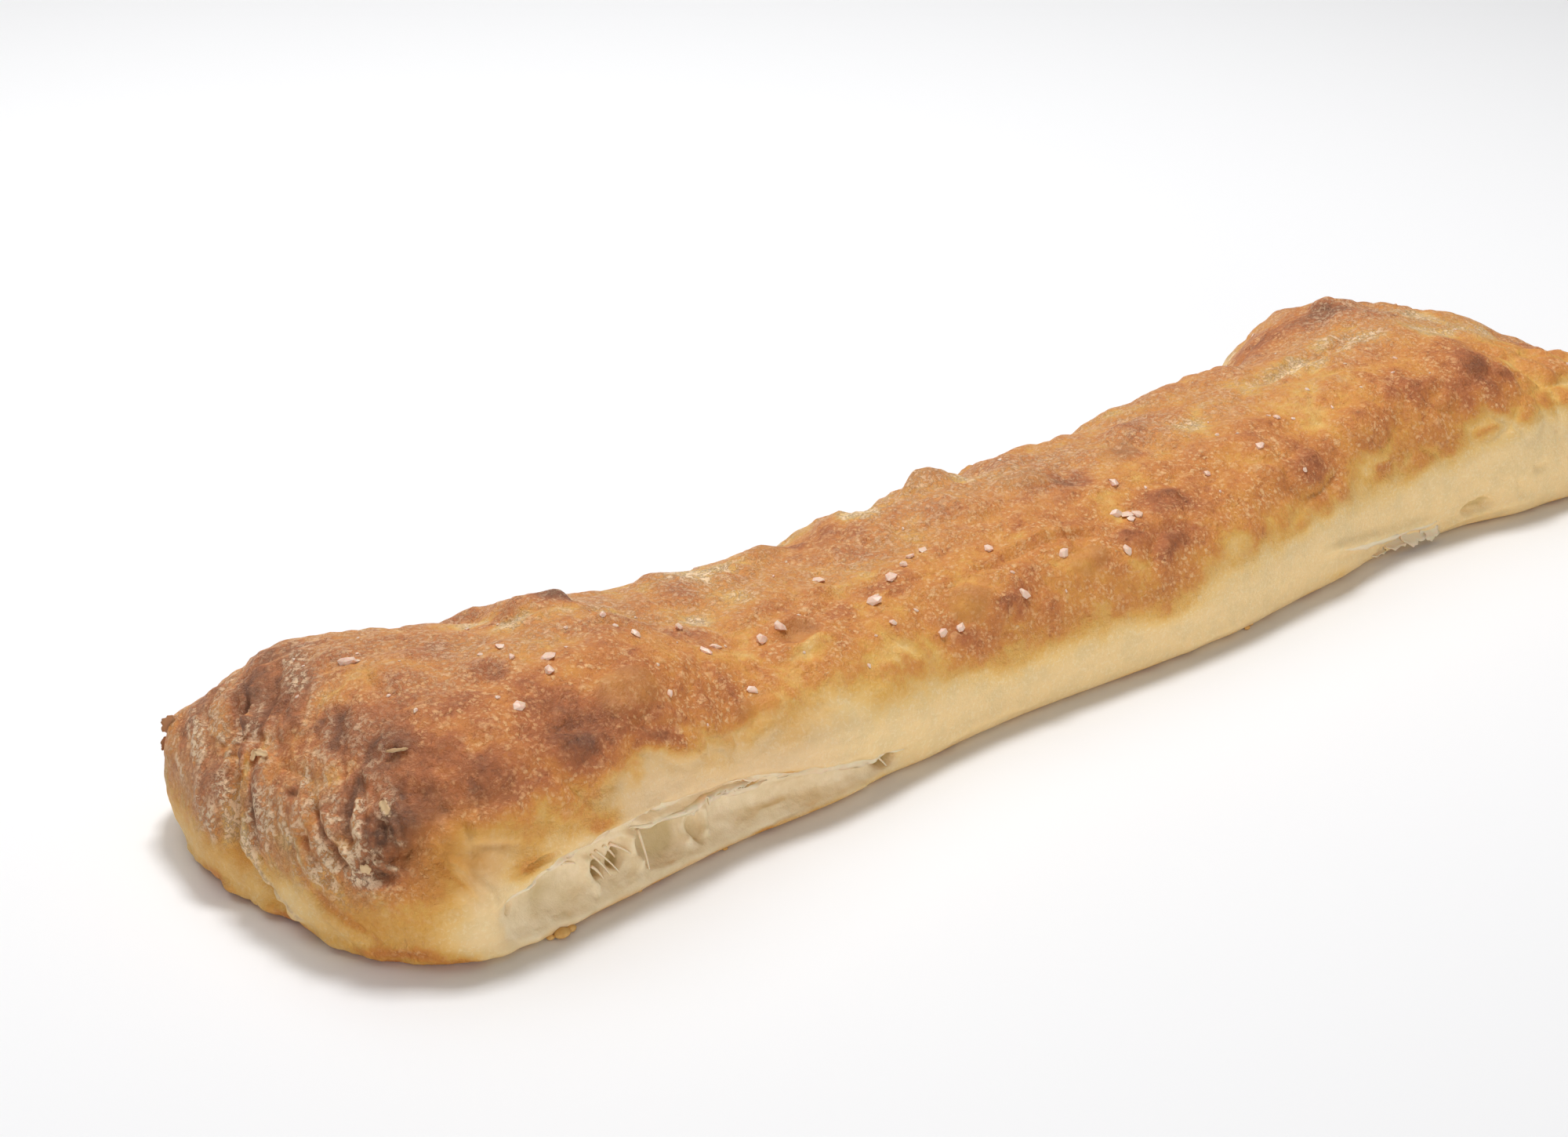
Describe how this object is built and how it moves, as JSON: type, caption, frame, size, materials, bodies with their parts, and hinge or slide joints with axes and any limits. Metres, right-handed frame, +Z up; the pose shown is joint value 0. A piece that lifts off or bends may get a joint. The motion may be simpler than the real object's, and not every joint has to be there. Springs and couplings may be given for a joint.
{
  "type": "focaccia loaf",
  "caption": "Long hand-stretched focaccia loaf with a blistered golden crust, folded ends, one pale torn side and coarse salt on top.",
  "frame": {"origin": "middle of the bounding box, on the flat base", "axes": "+X along the loaf to its far end, +Y away from the torn side, +Z up"},
  "size_m": [0.4134, 0.1116, 0.0463],
  "materials": {
    "crust": "matte"
  },
  "bodies": {
    "root": {"loaf": "crust"}
  },
  "joints": []
}
